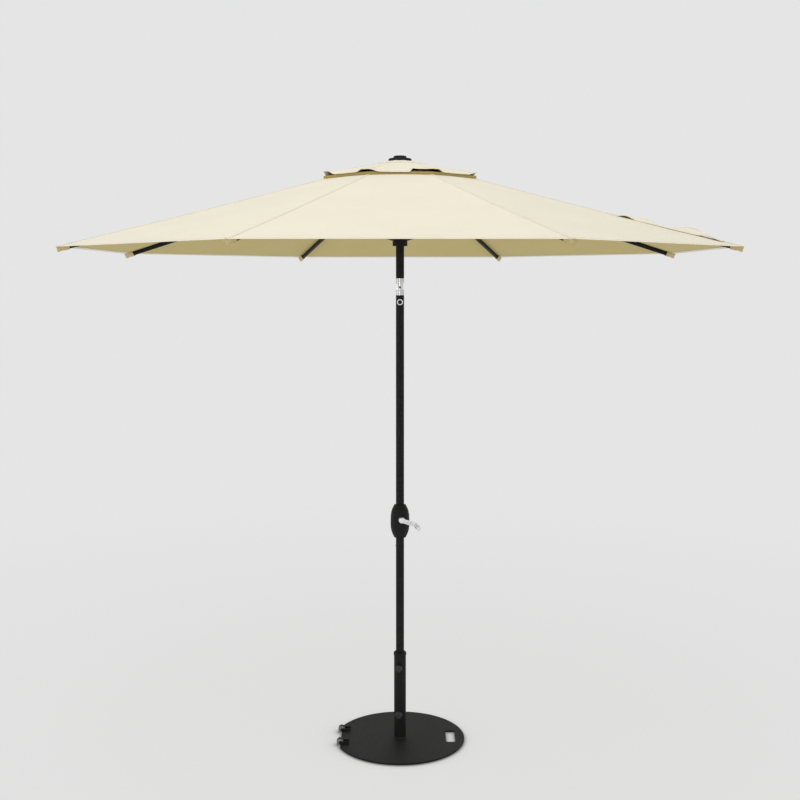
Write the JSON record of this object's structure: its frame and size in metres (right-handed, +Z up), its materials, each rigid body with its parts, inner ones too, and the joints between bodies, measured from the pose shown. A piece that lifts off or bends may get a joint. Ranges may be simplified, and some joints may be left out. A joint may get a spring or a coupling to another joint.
{
  "type": "patio umbrella with base",
  "caption": "Octagonal market umbrella with a vented canopy, crank lift and push-button tilt, on a round wheeled steel plate stand.",
  "frame": {"origin": "on the floor, on the pole's axis", "axes": "+Z up along the pole; +X towards the hand slot in the base plate; -Y the side that the crank, the tilt button and the knobs face"},
  "size_m": [2.5222, 2.5222, 2.4395],
  "materials": {
    "stand_steel": "satin",
    "rubber_black": "matte",
    "moulded_black": "matte",
    "knob_grey": "matte",
    "wheel_grey": "matte",
    "zinc_steel": "satin",
    "pole_black": "satin",
    "rib_black": "satin",
    "polished_silver": "polished",
    "dark_rivet": "satin",
    "crank_silver": "satin",
    "canopy_cloth": "matte",
    "cord_white": "matte"
  },
  "bodies": {
    "stand": {"base_plate": "stand_steel", "rubber_feet": "rubber_black", "stand_tube": "stand_steel", "tube_collar": "moulded_black", "wheel_forks": "stand_steel"},
    "front_wheel": {"wheel_front": "wheel_grey"},
    "rear_wheel": {"wheel_rear": "wheel_grey"},
    "upper_stud": {"knob_stud_upper": "zinc_steel"},
    "upper_knob": {"knob_grip_upper": "knob_grey"},
    "lower_stud": {"knob_stud_lower": "zinc_steel"},
    "lower_knob": {"knob_grip_lower": "knob_grey"},
    "pole": {"lower_pole": "pole_black", "pole_foot_cap": "moulded_black", "mid_pole": "pole_black", "housing_front": "moulded_black", "housing_rear": "moulded_black", "housing_screws": "zinc_steel", "tilt_socket_lower": "polished_silver", "tilt_pin": "dark_rivet", "button_ring": "polished_silver", "lift_cord_lower": "cord_white"},
    "snap_lock": {"snap_button": "zinc_steel"},
    "tilt_release": {"tilt_button": "moulded_black"},
    "crank": {"reel_shaft": "zinc_steel", "reel_cord": "cord_white", "crank_arm": "crank_silver"},
    "handgrip": {"crank_grip": "crank_silver", "grip_end_cap": "crank_silver"},
    "canopy_head": {"tilt_socket_upper": "polished_silver", "upper_pole": "pole_black", "crown_hub": "moulded_black", "finial": "moulded_black", "vent_canopy": "canopy_cloth", "lift_cord_upper": "cord_white"},
    "cord_pulley": {"pulley": "moulded_black"},
    "arm_1": {"rib_1": "rib_black", "canopy_panel_1": "canopy_cloth"},
    "brace_1": {"strut_1": "rib_black"},
    "runner_hub": {"runner": "moulded_black"},
    "arm_2": {"rib_2": "rib_black", "canopy_panel_2": "canopy_cloth"},
    "brace_2": {"strut_2": "rib_black"},
    "arm_3": {"rib_3": "rib_black", "canopy_panel_3": "canopy_cloth"},
    "brace_3": {"strut_3": "rib_black"},
    "arm_4": {"rib_4": "rib_black", "canopy_panel_4": "canopy_cloth"},
    "brace_4": {"strut_4": "rib_black"},
    "arm_5": {"rib_5": "rib_black", "canopy_panel_5": "canopy_cloth"},
    "brace_5": {"strut_5": "rib_black"},
    "arm_6": {"rib_6": "rib_black", "canopy_panel_6": "canopy_cloth"},
    "brace_6": {"strut_6": "rib_black"},
    "arm_7": {"rib_7": "rib_black", "canopy_panel_7": "canopy_cloth"},
    "brace_7": {"strut_7": "rib_black"},
    "arm_8": {"rib_8": "rib_black", "canopy_panel_8": "canopy_cloth"},
    "brace_8": {"strut_8": "rib_black"}
  },
  "joints": [
    {"name": "pole_lift", "type": "slide", "parent": "stand", "child": "pole", "axis": [0, 0, 1], "range_m": [0, 0.3]},
    {"name": "knob_upper_advance", "type": "slide", "parent": "stand", "child": "upper_stud", "axis": [-0.1219, -0.9925, 0], "range_m": [0, 0.00375]},
    {"name": "knob_upper_turn", "type": "hinge", "parent": "upper_stud", "child": "upper_knob", "pos_m": [-0.00512, -0.04169, 0.312], "axis": [-0.1219, -0.9925, 0], "range_deg": [0, 1080]},
    {"name": "knob_lower_advance", "type": "slide", "parent": "stand", "child": "lower_stud", "axis": [-0.1219, -0.9925, 0], "range_m": [0, 0.00375]},
    {"name": "knob_lower_turn", "type": "hinge", "parent": "lower_stud", "child": "lower_knob", "pos_m": [-0.00512, -0.04169, 0.115], "axis": [-0.1219, -0.9925, 0], "range_deg": [0, 1080]},
    {"name": "wheel_front_spin", "type": "hinge", "parent": "stand", "child": "front_wheel", "pos_m": [-0.249, -0.067, 0.015], "axis": [0, 1, 0], "continuous": true},
    {"name": "wheel_rear_spin", "type": "hinge", "parent": "stand", "child": "rear_wheel", "pos_m": [-0.249, 0.067, 0.015], "axis": [0, 1, 0], "continuous": true},
    {"name": "snap_push", "type": "slide", "parent": "pole", "child": "snap_lock", "axis": [1, 0, 0], "range_m": [0, 0.0035], "stiffness_N_per_m": 400, "springref_m": -0.003},
    {"name": "tilt_push", "type": "slide", "parent": "pole", "child": "tilt_release", "axis": [0, 1, 0], "range_m": [0, 0.0035], "stiffness_N_per_m": 400, "springref_m": -0.003},
    {"name": "canopy_tilt", "type": "hinge", "parent": "pole", "child": "canopy_head", "pos_m": [0, 0, 1.9], "axis": [0, 1, 0], "range_deg": [-30, 0]},
    {"name": "canopy_fold", "type": "hinge", "parent": "canopy_head", "child": "arm_1", "pos_m": [0.03141, 0.01301, 2.36936], "axis": [-0.3827, 0.9239, 0], "range_deg": [0, 73], "deforming": ["canopy_panel_1", "vent_canopy", "lift_cord_upper"]},
    {"name": "strut_1_fold", "type": "hinge", "parent": "arm_1", "child": "brace_1", "pos_m": [0.51255, 0.2123, 2.23468], "axis": [-0.3827, 0.9239, 0], "range_deg": [-146, 0]},
    {"name": "runner_travel", "type": "hinge", "parent": "brace_1", "child": "runner_hub", "pos_m": [0.03141, 0.01301, 2.1], "axis": [-0.3827, 0.9239, 0], "range_deg": [0, 73]},
    {"name": "rib_2_fold", "type": "hinge", "parent": "canopy_head", "child": "arm_2", "pos_m": [0.01301, 0.03141, 2.36936], "axis": [-0.9239, 0.3827, 0], "range_deg": [0, 73], "deforming": ["canopy_panel_2"]},
    {"name": "strut_2_fold", "type": "hinge", "parent": "arm_2", "child": "brace_2", "pos_m": [0.2123, 0.51255, 2.23468], "axis": [-0.9239, 0.3827, 0], "range_deg": [-146, 0]},
    {"name": "rib_3_fold", "type": "hinge", "parent": "canopy_head", "child": "arm_3", "pos_m": [-0.01301, 0.03141, 2.36936], "axis": [-0.9239, -0.3827, 0], "range_deg": [0, 73], "deforming": ["canopy_panel_3"]},
    {"name": "strut_3_fold", "type": "hinge", "parent": "arm_3", "child": "brace_3", "pos_m": [-0.2123, 0.51255, 2.23468], "axis": [-0.9239, -0.3827, 0], "range_deg": [-146, 0]},
    {"name": "rib_4_fold", "type": "hinge", "parent": "canopy_head", "child": "arm_4", "pos_m": [-0.03141, 0.01301, 2.36936], "axis": [-0.3827, -0.9239, 0], "range_deg": [0, 73], "deforming": ["canopy_panel_4"]},
    {"name": "strut_4_fold", "type": "hinge", "parent": "arm_4", "child": "brace_4", "pos_m": [-0.51255, 0.2123, 2.23468], "axis": [-0.3827, -0.9239, 0], "range_deg": [-146, 0]},
    {"name": "rib_5_fold", "type": "hinge", "parent": "canopy_head", "child": "arm_5", "pos_m": [-0.03141, -0.01301, 2.36936], "axis": [0.3827, -0.9239, 0], "range_deg": [0, 73], "deforming": ["canopy_panel_5"]},
    {"name": "strut_5_fold", "type": "hinge", "parent": "arm_5", "child": "brace_5", "pos_m": [-0.51255, -0.2123, 2.23468], "axis": [0.3827, -0.9239, 0], "range_deg": [-146, 0]},
    {"name": "rib_6_fold", "type": "hinge", "parent": "canopy_head", "child": "arm_6", "pos_m": [-0.01301, -0.03141, 2.36936], "axis": [0.9239, -0.3827, 0], "range_deg": [0, 73], "deforming": ["canopy_panel_6"]},
    {"name": "strut_6_fold", "type": "hinge", "parent": "arm_6", "child": "brace_6", "pos_m": [-0.2123, -0.51255, 2.23468], "axis": [0.9239, -0.3827, 0], "range_deg": [-146, 0]},
    {"name": "rib_7_fold", "type": "hinge", "parent": "canopy_head", "child": "arm_7", "pos_m": [0.01301, -0.03141, 2.36936], "axis": [0.9239, 0.3827, 0], "range_deg": [0, 73], "deforming": ["canopy_panel_7"]},
    {"name": "strut_7_fold", "type": "hinge", "parent": "arm_7", "child": "brace_7", "pos_m": [0.2123, -0.51255, 2.23468], "axis": [0.9239, 0.3827, 0], "range_deg": [-146, 0]},
    {"name": "rib_8_fold", "type": "hinge", "parent": "canopy_head", "child": "arm_8", "pos_m": [0.03141, -0.01301, 2.36936], "axis": [0.3827, 0.9239, 0], "range_deg": [0, 73], "deforming": ["canopy_panel_8"]},
    {"name": "strut_8_fold", "type": "hinge", "parent": "arm_8", "child": "brace_8", "pos_m": [0.51255, -0.2123, 2.23468], "axis": [0.3827, 0.9239, 0], "range_deg": [-146, 0]},
    {"name": "crank_turn", "type": "hinge", "parent": "pole", "child": "crank", "pos_m": [0, 0, 0.94], "axis": [0.1305, -0.9914, 0], "range_deg": [0, 6120]},
    {"name": "grip_spin", "type": "hinge", "parent": "crank", "child": "handgrip", "pos_m": [0.07137, -0.08138, 0.91811], "axis": [0.1305, -0.9914, 0], "continuous": true},
    {"name": "pulley_spin", "type": "hinge", "parent": "canopy_head", "child": "cord_pulley", "pos_m": [0.014, 0, 2.34], "axis": [0, 1, 0], "range_deg": [0, 7099.69]}
  ],
  "couplings": [
    {"joint": "knob_upper_turn", "follows": "knob_upper_advance", "rad_per_m": 5026.5},
    {"joint": "knob_lower_turn", "follows": "knob_lower_advance", "rad_per_m": 5026.5},
    {"joint": "strut_1_fold", "follows": "canopy_fold", "ratio": -2},
    {"joint": "runner_travel", "follows": "canopy_fold", "ratio": 1},
    {"joint": "rib_2_fold", "follows": "canopy_fold", "ratio": 1},
    {"joint": "strut_2_fold", "follows": "canopy_fold", "ratio": -2},
    {"joint": "rib_3_fold", "follows": "canopy_fold", "ratio": 1},
    {"joint": "strut_3_fold", "follows": "canopy_fold", "ratio": -2},
    {"joint": "rib_4_fold", "follows": "canopy_fold", "ratio": 1},
    {"joint": "strut_4_fold", "follows": "canopy_fold", "ratio": -2},
    {"joint": "rib_5_fold", "follows": "canopy_fold", "ratio": 1},
    {"joint": "strut_5_fold", "follows": "canopy_fold", "ratio": -2},
    {"joint": "rib_6_fold", "follows": "canopy_fold", "ratio": 1},
    {"joint": "strut_6_fold", "follows": "canopy_fold", "ratio": -2},
    {"joint": "rib_7_fold", "follows": "canopy_fold", "ratio": 1},
    {"joint": "strut_7_fold", "follows": "canopy_fold", "ratio": -2},
    {"joint": "rib_8_fold", "follows": "canopy_fold", "ratio": 1},
    {"joint": "strut_8_fold", "follows": "canopy_fold", "ratio": -2},
    {"joint": "crank_turn", "follows": "canopy_fold", "ratio": 83.836},
    {"joint": "pulley_spin", "follows": "canopy_fold", "ratio": 97.256}
  ]
}
